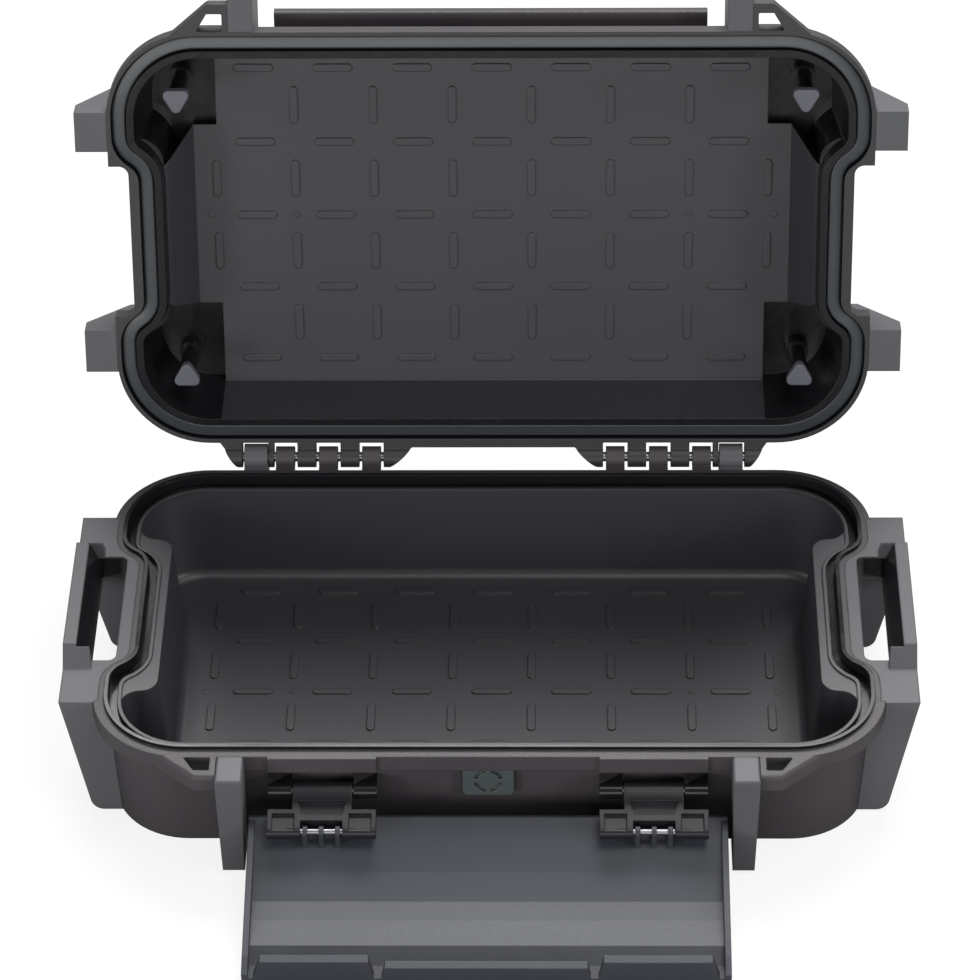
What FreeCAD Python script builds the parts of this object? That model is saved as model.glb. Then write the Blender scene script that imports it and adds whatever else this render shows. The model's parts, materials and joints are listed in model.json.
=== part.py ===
# Waterproof hard case, shown open: a moulded tub and a hinged lid with a gasket, soft grey bumpers
# and guards, and a wide over-centre latch on two links. Millimetres, +X to the right as seen from
# the latch, +Y to the hinges, +Z up. The origin is on the standing surface under the middle.
# The lid and the latch are drawn closed and then turned open about their own axes.
import FreeCAD
import Part
import Sketcher
import math
import os

doc = FreeCAD.newDocument("HardCase")
sheet = doc.addObject("Spreadsheet::Sheet", "Sizes")
nodes = []


# Sizes

class Size:
    # a length or angle that keeps its number and the sheet formula it came from
    def __init__(self, number, formula):
        self.number = float(number)
        self.formula = formula

    def __float__(self):
        return self.number

    def __add__(self, other):
        return Size(self.number + float(other), "(%s + %s)" % (self.formula, formula_of(other)))

    def __radd__(self, other):
        return Size(float(other) + self.number, "(%s + %s)" % (formula_of(other), self.formula))

    def __sub__(self, other):
        return Size(self.number - float(other), "(%s - %s)" % (self.formula, formula_of(other)))

    def __rsub__(self, other):
        return Size(float(other) - self.number, "(%s - %s)" % (formula_of(other), self.formula))

    def __mul__(self, other):
        return Size(self.number * float(other), "(%s * %s)" % (self.formula, formula_of(other)))

    def __rmul__(self, other):
        return self * other

    def __truediv__(self, other):
        return Size(self.number / float(other), "(%s / %s)" % (self.formula, formula_of(other)))

    def __neg__(self):
        return Size(-self.number, "(0 - %s)" % self.formula)


def formula_of(value):
    return value.formula if isinstance(value, Size) else "(%r)" % float(value)


def size(alias, number, meaning):
    # one row of the sheet: what it is, and its value under an alias
    row = size.row
    size.row += 1
    sheet.set("A%d" % row, meaning)
    sheet.set("B%d" % row, str(number))
    sheet.setAlias("B%d" % row, alias)
    return Size(number, "Sizes." + alias)


size.row = 1

# Case and rim
rim_x = size("rim_half_length", 115.6, "half length over the rim flange")
rim_y = size("rim_half_width", 67.8, "half width over the rim flange")
rim_round = size("rim_corner", 28, "corner radius of the rim flange")
rim_z = size("rim_height", 36.4, "height of the base rim above the standing surface")
rim_thick = size("rim_thickness", 5.2, "thickness of each rim flange")
part_gap = size("parting_gap", 0.3, "gap between base rim and closed lid")
flat = size("flange_flat", 3.7, "rim edge to the middle of the seal")
waist = size("waist_depth", 7.7, "how far the seal line draws in behind each handle")
waist_y = size("waist_half_width", 19.5, "half length of the straight part of the waist")
shoulder_y = size("shoulder_half_width", 34, "where the seal line is back at full length")
body_step = size("body_step", 0.9, "seal line to the outer wall under the flange")
wall = size("wall", 3.5, "wall thickness at the rim")
foot_draft = size("foot_draft", 0.5, "how far the outer wall draws in towards the foot")
foot_round = size("foot_round", 0.8, "rounding round the foot")
floor_thick = size("floor_thickness", 3.6, "base floor")
floor_round = size("floor_round", 3, "rounding inside round the floor")
tongue_wide = size("tongue_width", 1.2, "sealing tongue on the base rim")
tongue_tall = size("tongue_height", 1.2, "height of the sealing tongue")
channel_wide = size("channel_width", 2.6, "channel inside the tongue")
channel_deep = size("channel_depth", 3.0, "channel floor below the rim")
lip_deep = size("lip_depth", 1.5, "inner lip below the rim")
shelf_deep = size("shelf_depth", 2.1, "side shelf below the rim")
shelf_x = size("shelf_inner_half_length", 97.4, "half length between the side shelves")
shelf_y = size("shelf_half_width", 30.7, "half length of the straight part of a side shelf")
shelf_end = size("shelf_end_half_width", 41, "where a side shelf ends")
cavity_round = size("cavity_corner", 18, "corner radius of the tub's cavity")
base_draft = size("base_inner_draft", 3, "how far the cavity draws in at the floor")

# Seal
seal_wide = size("seal_width", 4, "width of the gasket")
seal_play = size("seal_play", 0.35, "open line each side of the gasket")
seal_squeeze = size("seal_clearance", 0.2, "gasket face to the tongue's top")
seal_deep = size("seal_groove_depth", 3.2, "depth of the gasket groove in the lid")
ring_wide = size("inner_ring", 2.2, "lid ring inside the gasket groove")

# Lid
lid_top = size("lid_height", 28.6, "lid height above the parting plane")
lid_draft = size("lid_draft", 4.5, "how far the lid's outer wall draws in towards the top")
notch_x = size("notch_half_length", 109.6, "half length over the lid rim between its ears")
notch_y = size("notch_half_width", 24.8, "half width of the finger notch in the lid rim")
notch_round = size("notch_round", 3, "inner corners of the finger notch")
plateau_z = size("plateau_height", 22, "lid ceiling above the parting plane")
plateau_x = size("plateau_half_length", 91.3, "half length of the lid ceiling")
pocket_z = size("pocket_height", 25.6, "corner pocket ceiling above the parting plane")
pocket_x = size("pocket_inner_x", 84.2, "inner edge of a corner pocket")
pocket_y = size("pocket_inner_y", 29.8, "lengthwise edge of a corner pocket")
pocket_cut = size("pocket_corner_y", 22.5, "end of the slanted pocket edge at the wall")
side_foot_x = size("side_foot_x", 97.4, "foot of the lid's slanted side wall")
side_foot_z = size("side_foot_z", 7, "height of that foot above the parting plane")
side_lip_x = size("side_lip_x", 99.2, "top of the narrow slope under it")
side_lip_z = size("side_lip_z", 5.2, "height of that edge above the parting plane")
ledge_y = size("ledge_half_width", 32, "half length of the ledge behind it")
ledge_round = size("ledge_corner", 8, "rounding of the ledge's corners")
lid_inner_draft = size("lid_inner_draft", 3.6, "how far the lid cavity draws in at its ceiling")
recess_deep = size("recess_depth", 3.4, "recess in the lid's top between the raised corners")
recess_x = size("recess_half_length", 78, "half length of the recess across the lid")
recess_y = size("recess_half_width", 23.5, "half width of the recess along the lid")

# Stiffening ribs
rib_pitch = size("rib_pitch", 24.15, "spacing of the rib pattern")
rib_long = size("rib_length", 12, "length of one rib")
rib_wide = size("rib_width", 2.4, "width of one rib")
rib_tall = size("rib_height", 0.45, "height of one rib")

# Pegs
peg_x = size("peg_x", 94.5, "peg from the middle, lengthwise")
peg_y = size("peg_y", 45.8, "peg from the middle, crosswise")
peg_radius = size("peg_radius", 2.6, "peg shaft radius")
boss_radius = size("peg_boss_radius", 3.6, "radius of the boss round a peg's foot")
boss_tall = size("peg_boss_height", 6, "height of that boss")
cap_z = size("cap_top_z", 1.5, "free end of a peg cap from the parting plane")
cap_thick = size("cap_thickness", 2.6, "thickness of a peg cap")
cap_side = size("cap_reach", 5.8, "centre of a peg cap to its corners")
cap_round = size("cap_round", 1.6, "corner rounding of a peg cap")
spigot = size("spigot_radius", 1.4, "peg spigot inside the cap")
spigot_long = size("spigot_length", 1.6, "length of that spigot")

# Hinge
hinge_y = size("hinge_y", 73.05, "hinge axis behind the middle")
hinge_z = size("hinge_z", 37.63, "hinge axis above the standing surface")
knuckle = size("knuckle_radius", 3.3, "outer radius of a hinge knuckle")
pin_radius = size("hinge_pin_radius", 1.5, "hinge pin radius")
pin_fit = size("pin_clearance", 0.05, "radial clearance round every pin")
open_angle = size("open_angle", 101.2, "lid opening angle")
guard_gap = size("guard_gap", 1.2, "latch panel's side to each guard")
guard_wide = size("guard_width", 7.8, "width of a guard")
hinge_gap = size("hinge_gap", 0.9, "gap between two knuckles")
wing_outer_long = size("wing_outer_length", 8.2, "length of the lid's outer hinge wing")
wing_inner_long = size("wing_inner_length", 8.9, "length of the lid's inner hinge wing")
wing_tip = size("wing_tip", 1.2, "length of a hinge wing at its far side")
pin_reach = size("hinge_pin_reach", 1.6, "hinge pin beyond the guard")
pin_grip = size("hinge_pin_grip", 3.2, "hinge pin inside the lid's inner wing")
pin_end = size("hinge_pin_end_play", 0.3, "play beyond each end of a hinge pin")
row_gap = size("knuckle_row_gap", 2.6, "guard to the knuckle row")
knuckle_long = size("knuckle_length", 5.8, "length of one knuckle")
rail_y = size("rear_rail_y", 69.4, "lid's rear rail")

# Guards
guard_y = size("guard_reach", 78.7, "reach of the front guards from the middle")
guard_taper = size("guard_taper", 1, "how much a front guard's outer side draws in at its foot")
guard_soft = size("guard_edge_round", 0.8, "rounding of a front guard's upper edges")
foot_nose = size("guard_foot_bevel", 1.5, "bevel at the foot of a front guard")
guard_foot_y = size("guard_foot_reach", 77.8, "reach of the front guards at the foot")
guard_foot_z = size("guard_foot_z", 0.3, "foot of the guards above the standing surface")
rear_guard_y = size("rear_guard_reach", 77.2, "reach of the rear guards")
rear_guard_round = size("rear_guard_nose", 4.1, "radius of a rear guard round the hinge axis")
lid_guard_z = size("lid_guard_top", 25, "top of the lid's front guards above the parting plane")

# Eyelets
eye_long = size("eyelet_length", 17.9, "guard to the outer end of an eyelet wing at the rim")
eye_front = size("eyelet_front_length", 6.2, "guard to the outer end of its front edge")
eye_reach = size("eyelet_reach", 8.8, "eyelet wing in front of the rim")
eye_hole_long = size("eyelet_hole_length", 7.8, "back edge of the eyelet hole")
eye_hole_front = size("eyelet_hole_front_length", 4.5, "front edge of the eyelet hole")
eye_hole_wide = size("eyelet_hole_width", 5.6, "eyelet hole from back to front")
eye_wall = size("eyelet_wall", 1.8, "guard to the eyelet hole")
eye_round = size("eyelet_round", 2.2, "outer corners of an eyelet wing")
eye_hole_round = size("eyelet_hole_round", 0.35, "corners of the eyelet hole")
eye_soft = size("eyelet_edge_round", 1.3, "rounding of an eyelet wing's upper edge")
eye_back = size("eyelet_hole_gap", 0.2, "rim edge to the eyelet hole")

# Base bumpers
bump_x = size("bumper_reach", 125.5, "reach of a base bumper at the rim")
bump_foot_x = size("bumper_foot_reach", 116.8, "reach of a base bumper at its foot")
bump_y = size("bumper_half_width", 43.8, "half width of a base bumper at the rim")
bump_flare = size("bumper_flare", 6.4, "how far a bumper's ends stand out more at its foot")
bump_foot_z = size("bumper_foot_z", 0.8, "foot of a bumper above the standing surface")
bump_in = size("bumper_inner_x", 92, "inner limit of the bumper before the tub is taken out")
bump_round = size("bumper_round", 4, "rounding of a bumper's lower edge")
ear_y = size("ear_end_y", 43, "end of the base rim's ears beside a bumper")
ring_out = size("ring_outer", 2.3, "seal line to the edge of the rim between its ears")
hole_in = size("finger_hole_inner_x", 110.3, "inner side of the finger hole")
hole_out = size("finger_hole_outer_x", 118.3, "outer side of the finger hole")
hole_y = size("finger_hole_half_width", 24.5, "half width of the finger hole")
hole_round = size("finger_hole_round", 2.5, "corners of the finger hole")
core_x = size("handle_core_x", 121.6, "outer face of the black handle core")
core_z = size("handle_core_z", 28.5, "underside of the handle")
core_web = size("handle_web", 3.4, "thickness of the webs that carry the handle core")
core_low = size("handle_core_low_z", 33.5, "lower edge of the core's slanted inner face")
core_lap = size("handle_core_lap", 0.3, "handle core into its webs")
core_cover = size("handle_cover_thickness", 1.1, "cover over the handle core")
handle_y = size("handle_half_width", 29.5, "half width of the raised handle")
handle_z = size("handle_rise", 6, "how far the handle rises over the rim")
handle_ramp = size("handle_ramp", 5.5, "slope at the ends of the raised handle")

# Lid bumpers
block_front = size("lid_block_front_y", 42.2, "front block of a lid bumper, outer end")
block_back = size("lid_block_back_y", 43.4, "rear block of a lid bumper, outer end")
block_in = size("lid_block_inner_y", 29.6, "inner ends of both blocks")
block_x = size("lid_block_reach", 125.3, "reach of a lid bumper")
block_low = size("lid_block_straight", 6.8, "straight part of a block above the parting plane")
block_top = size("lid_block_top", 27, "top of a block above the parting plane")
block_top_x = size("lid_block_top_reach", 113.5, "reach of a block at its top")
block_lean = size("lid_block_lean", 3, "how far a block's inner end leans out at its top")
block_end = size("lid_block_end_draft", 1, "how far its outer end draws in")
bridge_x = size("lid_bridge_x", 108.2, "outer face of the skin between the blocks")

# Valve
valve_z = size("valve_height", 25, "valve above the standing surface")
valve_wide = size("valve_width", 14.8, "width of the valve cover")
valve_tall = size("valve_tall", 10.8, "height of the valve cover")
valve_thick = size("valve_thickness", 2.2, "thickness of the valve cover")
valve_round = size("valve_round", 1.6, "corner rounding of the valve cover")
valve_seat = size("valve_seat_y", 63.0, "seat of the valve cover, in front of the middle")
valve_bore = size("valve_bore", 4, "radius of the valve's hole in the wall")
vent_in = size("vent_inner_radius", 3.1, "inner radius of the four vent gaps")
vent_out = size("vent_outer_radius", 4.3, "outer radius of the four vent gaps")
vent_bridge = size("vent_bridge", 1.6, "width of the bars between the gaps")
vent_deep = size("vent_depth", 0.9, "depth of the gaps")
oring_out = size("oring_outer_radius", 5.2, "outer radius of the valve seal")
oring_thick = size("oring_thickness", 0.8, "thickness of the valve seal")

# Latch
latch_x = size("latch_x", 47.7, "latch links from the middle")
link_y = size("link_pivot_y", 68.3, "link pivot in front of the middle")
link_z = size("link_pivot_z", 24, "link pivot above the standing surface")
link_long = size("link_length", 14.2, "pivot to panel pin")
link_wide = size("link_width", 31.3, "width of a link")
link_thick = size("link_thickness", 4.2, "thickness of a link")
link_neck = size("link_neck", 17.2, "width of a link's barrel between its ears")
link_barrel = size("link_barrel_radius", 2.45, "radius of the barrel and the ears")
link_gap = size("link_ear_gap", 0.3, "gap between the barrel and each ear")
link_shoulder = size("link_shoulder", 7.8, "shoulder of the link below its pivot")
link_end = size("link_end", 2.4, "end of the link beyond the panel pin")
link_notch = size("link_notch", 12, "width of the notch for the panel's hooks")
link_notch_top = size("link_notch_top", 2.5, "notch above the panel pin")
link_pin = size("link_pin_radius", 0.9, "radius of the link pins")
pocket_deep = size("link_pocket_depth", 1, "depth of the pockets in a link")
middle_top = size("link_middle_pocket_top", 5, "pivot to the top of the middle pocket")
middle_low = size("link_middle_pocket_low", 9.6, "pivot to its lower edge")
middle_wide = size("link_middle_pocket_width", 14, "width of the middle pocket at its top")
middle_narrow = size("link_middle_pocket_foot", 11.3, "width of the middle pocket at its foot")
side_top = size("link_side_pocket_top", 9.3, "pivot to the top of a side pocket")
side_low = size("link_side_pocket_low", 14.9, "pivot to its lower edge")
side_edge = size("link_side_pocket_edge", 1.4, "side of the link to a side pocket")
side_wide = size("link_side_pocket_width", 6.4, "width of a side pocket")
link_swing = size("link_swing", 75, "link from hanging down to its open position")
panel_swing = size("panel_swing", 179.5, "panel against the link from shut to open")
hook_wide = size("hook_width", 1.4, "width of one hook on the panel")
hook_step = size("hook_spacing", 4.7, "spacing of the three hooks")
hook_spread = size("hook_root", 0.6, "how much a hook widens above and below at the panel")
hook_root_y = size("hook_root_y", 74.2, "where a hook meets the panel")
hook_radius = size("hook_radius", 1.7, "outer radius of a hook")
panel_x = size("panel_half_width", 69, "half width of the latch panel")
panel_wall = size("panel_wall", 2.4, "thickness of the latch panel")
panel_side = size("panel_side", 1.8, "thickness of its side flanges")
panel_rise = size("panel_side_height", 5, "height of its side flanges")
bar_x = size("bar_half_length", 65, "half length of the lid's latch bar")
bar_y = size("bar_reach", 69.6, "reach of the latch bar")
bar_low = size("bar_low_z", 12.6, "underside of the latch bar above the parting plane")
bar_high = size("bar_top_z", 16.6, "top of the latch bar above the parting plane")
hook_gap = size("panel_hook_gap", 0.3, "gap between the latch bar and the panel's edge")
edge_thick = size("panel_edge", 2.6, "thickness of the panel's hooked edge")
tab_root_y = size("tab_root_y", 75, "root of the tabs in the panel")
tab_y = size("tab_reach", 64.9, "end of the two long tabs")
tab_in = size("tab_inner_x", 33, "inner side of a long tab at its end")
tab_out = size("tab_outer_x", 63.5, "outer side of a long tab at its end")
tab_in_root = size("tab_inner_root_x", 31.5, "inner side of a long tab at its root")
tab_out_root = size("tab_outer_root_x", 66, "outer side of a long tab at its root")
mid_tab_y = size("middle_tab_reach", 68, "end of the short middle tab")
mid_tab = size("middle_tab_half_width", 28.5, "half width of the middle tab at its end")
mid_tab_root = size("middle_tab_root", 29.5, "half width of the middle tab at its root")

guard_in = panel_x + guard_gap
guard_out = guard_in + guard_wide
row_start = guard_in - row_gap
wing_out = guard_out + wing_outer_long
wing_start = row_start - 5 * (knuckle_long + hinge_gap)
wing_in = wing_start - wing_inner_long
seal_x = rim_x - flat
seal_y = rim_y - flat
seal_round = rim_round - flat
seal_waist = seal_x - waist
lid_z = rim_z + part_gap
ear_long = (link_wide - link_neck) / 2 - link_gap


# Building with document objects

def bind(thing, **formulas):
    # each named property follows its formula in the sheet
    for name, amount in formulas.items():
        if isinstance(amount, Size):
            thing.setExpression(name.replace("_", "."), amount.formula)
        else:
            thing.setExpression(name.replace("_", "."), formula_of(amount))
    return thing


def box(name, x0, x1, y0, y1, z0, z1):
    solid = doc.addObject("Part::Box", name)
    bind(solid, Length=x1 - x0, Width=y1 - y0, Height=z1 - z0)
    return bind(solid, Placement_Base_x=x0, Placement_Base_y=y0, Placement_Base_z=z0)


def rod(name, radius, along, start, end, u, v):
    # a round bar along X, Y or Z from start to end, at u, v in the other two directions
    solid = doc.addObject("Part::Cylinder", name)
    bind(solid, Radius=radius, Height=end - start)
    if along == "X":
        solid.Placement.Rotation = FreeCAD.Rotation(FreeCAD.Vector(0, 1, 0), 90)
        return bind(solid, Placement_Base_x=start, Placement_Base_y=u, Placement_Base_z=v)
    if along == "Y":
        solid.Placement.Rotation = FreeCAD.Rotation(FreeCAD.Vector(1, 0, 0), -90)
        return bind(solid, Placement_Base_x=u, Placement_Base_y=start, Placement_Base_z=v)
    return bind(solid, Placement_Base_x=u, Placement_Base_y=v, Placement_Base_z=start)


def frustum(name, low, high, z0, z1):
    # a block whose rectangle (x0, x1, y0, y1) changes from its foot to its top
    solid = doc.addObject("Part::Wedge", name)
    solid.Placement.Rotation = FreeCAD.Rotation(FreeCAD.Vector(1, 0, 0), 90)
    bind(solid, Xmin=low[0], Xmax=low[1], Zmin=-low[3], Zmax=-low[2], Ymin=z0, Ymax=z1)
    return bind(solid, X2min=high[0], X2max=high[1], Z2min=-high[3], Z2max=-high[2])


def sketch_on(name, across, level):
    # a sketch square to X, Y or Z at a level along it
    sketch = doc.addObject("Sketcher::SketchObject", name)
    if across == "X":
        sketch.Placement.Rotation = FreeCAD.Rotation(FreeCAD.Vector(1, 1, 1), 120)
        return bind(sketch, Placement_Base_x=level)
    if across == "Y":
        sketch.Placement.Rotation = FreeCAD.Rotation(FreeCAD.Vector(1, 0, 0), 90)
        return bind(sketch, Placement_Base_y=level)
    return bind(sketch, Placement_Base_z=level)


def fix(sketch, constraint, amount):
    # a sketch dimension that follows the sheet
    number = sketch.addConstraint(constraint)
    sketch.setExpression("Constraints[%d]" % number, formula_of(amount))


def polygon(name, across, level, corners):
    sketch = sketch_on(name, across, level)
    count = len(corners)
    spots = [FreeCAD.Vector(float(u), float(v), 0) for u, v in corners]
    for i in range(count):
        sketch.addGeometry(Part.LineSegment(spots[i], spots[(i + 1) % count]), False)
    for i in range(count):
        sketch.addConstraint(Sketcher.Constraint("Coincident", i, 2, (i + 1) % count, 1))
    for i, (u, v) in enumerate(corners):
        fix(sketch, Sketcher.Constraint("DistanceX", -1, 1, i, 1, float(u)), u)
        fix(sketch, Sketcher.Constraint("DistanceY", -1, 1, i, 1, float(v)), v)
    return sketch


def extrude(name, sketch, across, length):
    solid = doc.addObject("Part::Extrusion", name)
    solid.Base = sketch
    solid.DirMode = "Custom"
    solid.Dir = {"X": (1, 0, 0), "Y": (0, 1, 0), "Z": (0, 0, 1)}[across]
    solid.Solid = True
    return bind(solid, LengthFwd=length)


def prism(name, across, corners, start, end):
    return extrude(name, polygon(name + "_outline", across, start, corners), across, end - start)


def fuse(name, shapes):
    solid = doc.addObject("Part::MultiFuse", name)
    solid.Shapes = shapes
    solid.Refine = True
    return solid


def cut(name, base, tools):
    solid = doc.addObject("Part::Cut", name)
    solid.Base = base
    solid.Tool = tools[0] if len(tools) == 1 else fuse(name + "_tools", tools)
    solid.Refine = True
    return solid


def common(name, one, other):
    solid = doc.addObject("Part::MultiCommon", name)
    solid.Shapes = [one, other]
    return solid


def mirror(name, source, normal):
    solid = doc.addObject("Part::Mirroring", name)
    solid.Source = source
    solid.Normal = normal
    return solid


def both_ways(name, source):
    # a shape and its mirror images across the two middle planes
    half = fuse(name + "_half", [source, mirror(name + "_across", source, (1, 0, 0))])
    return fuse(name, [half, mirror(name + "_along", half, (0, 1, 0))])


def rounded(name, base, radius, chosen):
    # a fillet on the edges that the chosen test picks out
    doc.recompute()
    solid = doc.addObject("Part::Fillet", name)
    solid.Base = base
    edges = enumerate(base.Shape.Edges, 1)
    solid.Edges = [(i, float(radius), float(radius)) for i, edge in edges if chosen(edge)]
    return solid


def runs_along(axis):
    # a test for straight edges in one direction
    def test(edge):
        way = edge.tangentAt(edge.FirstParameter)
        return edge.Curve.TypeId == "Part::GeomLine" and abs(way[axis]) > 0.999
    return test


def at_level(level):
    # a test for edges that lie at one height
    return lambda edge: max(abs(v.Z - float(level)) for v in edge.Vertexes) < 0.01


def waisted(name, level, half_x, half_y, corner, waist_x, straight_y, full_y, bend):
    # one quarter of the rim's outline: a straight waist, an S of two tangent arcs out to full
    # length, then a straight, the corner arc and the long side
    x, y, r = float(half_x), float(half_y), float(corner)
    wx, y1, y2 = float(waist_x), float(straight_y), float(full_y)
    r1 = float(bend)
    r2 = ((x - wx) ** 2 + (y2 - y1) ** 2) / (2 * (x - wx)) - r1
    first = FreeCAD.Vector(wx + r1, y1, 0)
    second = FreeCAD.Vector(x - r2, y2, 0)
    meet = first + (second - first) * (r1 / (r1 + r2))
    turn = math.atan2(meet.y - y1, meet.x - first.x)
    sketch = sketch_on(name, "Z", level)
    up = FreeCAD.Vector(0, 0, 1)
    line, arc, spot = Part.LineSegment, Part.ArcOfCircle, FreeCAD.Vector
    sketch.addGeometry(line(spot(0, 0, 0), spot(wx, 0, 0)), False)
    sketch.addGeometry(line(spot(wx, 0, 0), spot(wx, y1, 0)), False)
    sketch.addGeometry(arc(Part.Circle(first, up, r1), turn, math.pi), False)
    sketch.addGeometry(arc(Part.Circle(second, up, r2), turn - math.pi, 0), False)
    sketch.addGeometry(line(spot(x, y2, 0), spot(x, y - r, 0)), False)
    sketch.addGeometry(arc(Part.Circle(spot(x - r, y - r, 0), up, r), 0, math.pi / 2), False)
    sketch.addGeometry(line(spot(x - r, y, 0), spot(0, y, 0)), False)
    sketch.addGeometry(line(spot(0, y, 0), spot(0, 0, 0)), False)
    rule = Sketcher.Constraint
    sketch.addConstraint([rule("Coincident", 0, 1, -1, 1), rule("Coincident", 0, 2, 1, 1),
                          rule("Coincident", 6, 2, 7, 1), rule("Coincident", 7, 2, 0, 1)])
    sketch.addConstraint([rule("Tangent", 1, 2, 2, 2), rule("Tangent", 2, 1, 3, 1),
                          rule("Tangent", 3, 2, 4, 1), rule("Tangent", 4, 2, 5, 1),
                          rule("Tangent", 5, 2, 6, 1)])
    sketch.addConstraint([rule("Horizontal", 0), rule("Vertical", 1), rule("Vertical", 4),
                          rule("Horizontal", 6), rule("Vertical", 7)])
    fix(sketch, rule("DistanceX", -1, 1, 1, 1, wx), waist_x)
    fix(sketch, rule("DistanceY", -1, 1, 1, 2, y1), straight_y)
    fix(sketch, rule("Radius", 2, r1), bend)
    fix(sketch, rule("DistanceY", -1, 1, 4, 1, y2), full_y)
    fix(sketch, rule("DistanceX", -1, 1, 4, 1, x), half_x)
    fix(sketch, rule("Radius", 5, r), corner)
    fix(sketch, rule("DistanceY", -1, 1, 6, 1, y), half_y)
    return sketch


def seal_bend(inset):
    # radius of the waist's inner arc on a line drawn inside the seal line
    spread = shoulder_y - waist_y
    return (waist * waist + spread * spread) / (4 * waist) + inset


def seal_line(name, level, inset):
    return waisted(name, level, seal_x - inset, seal_y - inset, seal_round - inset,
                   seal_waist - inset, waist_y, shoulder_y, seal_bend(inset))


def seal_solid(name, inset, z0, z1):
    # everything inside a line that runs beside the seal line
    quarter = extrude(name + "_quarter", seal_line(name + "_line", z0, inset), "Z", z1 - z0)
    return both_ways(name, quarter)


def between(name, lower, upper):
    # the solid between two quarter outlines, made whole
    loft = doc.addObject("Part::Loft", name + "_loft")
    loft.Sections = [lower, upper]
    loft.Solid = True
    loft.Ruled = True
    return both_ways(name, loft)


def node(name, thing):
    # the finished object of one sub-part
    thing.Label = name
    nodes.append(thing)
    return thing


def pair(name, thing):
    # a piece on the left and its mirror image on the right
    node(name + "_left", thing)
    node(name + "_right", mirror(name + "_right", thing, (1, 0, 0)))


def turn(y, z, angle):
    # formula of a rotation about a line along X through y, z
    return "placement(vector(0; 0; 0); rotation(vector(1; 0; 0); %s); vector(0; %s; %s))" % (
        formula_of(angle), formula_of(y), formula_of(z))


def placed(thing, formula):
    thing.setExpression("Placement", formula)
    return thing


def sine(angle):
    return Size(math.sin(math.radians(float(angle))), "sin(%s * 1 deg)" % angle.formula)


def cosine(angle):
    return Size(math.cos(math.radians(float(angle))), "cos(%s * 1 deg)" % angle.formula)


lid_open = turn(hinge_y, hinge_z, -open_angle)


def ribs(name, face_z, rise, end_column_rows):
    # round-ended bars on a square grid: lengthwise in every row, crosswise between the rows
    half, radius = float(rib_long) / 2, float(rib_wide) / 2
    pitch = float(rib_pitch)
    bars = []
    for row in range(-2, 3):
        bars += [(column * pitch, row * pitch, 0) for column in range(-3, 4)]
    for row in (-1.5, -0.5, 0.5, 1.5):
        columns = [c + 0.5 for c in range(-4, 4)]
        kept = [c for c in columns if abs(c) < 3 or abs(row) in end_column_rows]
        bars += [(c * pitch, row * pitch, 90) for c in kept]
    solids = []
    for x, y, angle in bars:
        a, b = FreeCAD.Vector(radius - half, -radius, 0), FreeCAD.Vector(half - radius, -radius, 0)
        c, d = FreeCAD.Vector(half - radius, radius, 0), FreeCAD.Vector(radius - half, radius, 0)
        right = Part.Arc(b, FreeCAD.Vector(half, 0, 0), c).toShape()
        left = Part.Arc(d, FreeCAD.Vector(-half, 0, 0), a).toShape()
        wire = Part.Wire([Part.makeLine(a, b), right, Part.makeLine(c, d), left])
        bar = Part.Face(wire).extrude(FreeCAD.Vector(0, 0, float(rib_tall) + 1))
        low = float(face_z) - (1 if rise > 0 else float(rib_tall))
        bar.Placement = FreeCAD.Placement(FreeCAD.Vector(x, y, low),
                                          FreeCAD.Rotation(FreeCAD.Vector(0, 0, 1), angle))
        solids.append(bar)
    pattern = doc.addObject("Part::Feature", name)
    pattern.Shape = Part.makeCompound(solids)
    return pattern


# Base shell: wall, rim flange, tongue and channel

def outer_wall(name, low, high, low_inset, high_inset):
    return between(name, seal_line(name + "_low", low, low_inset),
                   seal_line(name + "_high", high, high_inset))


def rim_plate(name, z0, z1):
    plate = box(name + "_block", -rim_x, rim_x, -rim_y, rim_y, z0, z1)
    return rounded(name, plate, rim_round, runs_along(2))


def side_notches(name, x, y, z0, z1):
    # blocks that clear a rim flange beside both handles
    far = rim_x + 5
    return [box(name + "_left", -far, -x, -y, y, z0, z1), box(name + "_right", x, far, -y, y, z0, z1)]


rim_low = rim_z - rim_thick
base_wall = outer_wall("base_wall", 0, rim_low, body_step + foot_draft, body_step)
base_wall = rounded("base_wall_rounded", base_wall, foot_round, at_level(0))
rim_block = rim_plate("base_rim_plate", rim_low, rim_z)
base_notches = side_notches("base_notch", seal_waist - 2, ear_y, rim_low - 1, rim_z + 1)
base_rim = cut("base_rim_cut", rim_block, base_notches)
base_ring = seal_solid("base_ring", -ring_out, rim_low, rim_z)
tongue = cut("tongue", seal_solid("tongue_outer", -tongue_wide / 2, rim_z - 1, rim_z + tongue_tall),
             [seal_solid("tongue_inner", tongue_wide / 2, rim_z - 2, rim_z + tongue_tall + 1)])
lip_inset = tongue_wide / 2 + channel_wide
mouth_inset = wall + body_step
mouth = seal_solid("mouth", tongue_wide / 2, rim_z - lip_deep, rim_z + tongue_tall)
channel = cut("channel", seal_solid("channel_outer", tongue_wide / 2, rim_z - channel_deep, rim_z),
              [seal_solid("channel_inner", lip_inset, rim_z - channel_deep - 1, rim_z + 1)])
shelf = seal_solid("shelf", mouth_inset, rim_z - shelf_deep, rim_z)
cavity_x = seal_x - mouth_inset
cavity_y = seal_y - mouth_inset
shelf_step = cavity_x - shelf_x
shelf_spread = shelf_end - shelf_y
shelf_bend = (shelf_step * shelf_step + shelf_spread * shelf_spread) / (4 * shelf_step)


def cavity_line(name, level, inset):
    return waisted(name, level, cavity_x - inset, cavity_y - inset, cavity_round - inset,
                   shelf_x - inset, shelf_y, shelf_end, shelf_bend + inset)


cavity = between("cavity", cavity_line("cavity_floor", floor_thick, base_draft),
                 cavity_line("cavity_mouth", rim_z - shelf_deep, 0))
cavity = rounded("cavity_rounded", cavity, floor_round, at_level(floor_thick))


# Hinge knuckles, from the outer guard inwards

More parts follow.
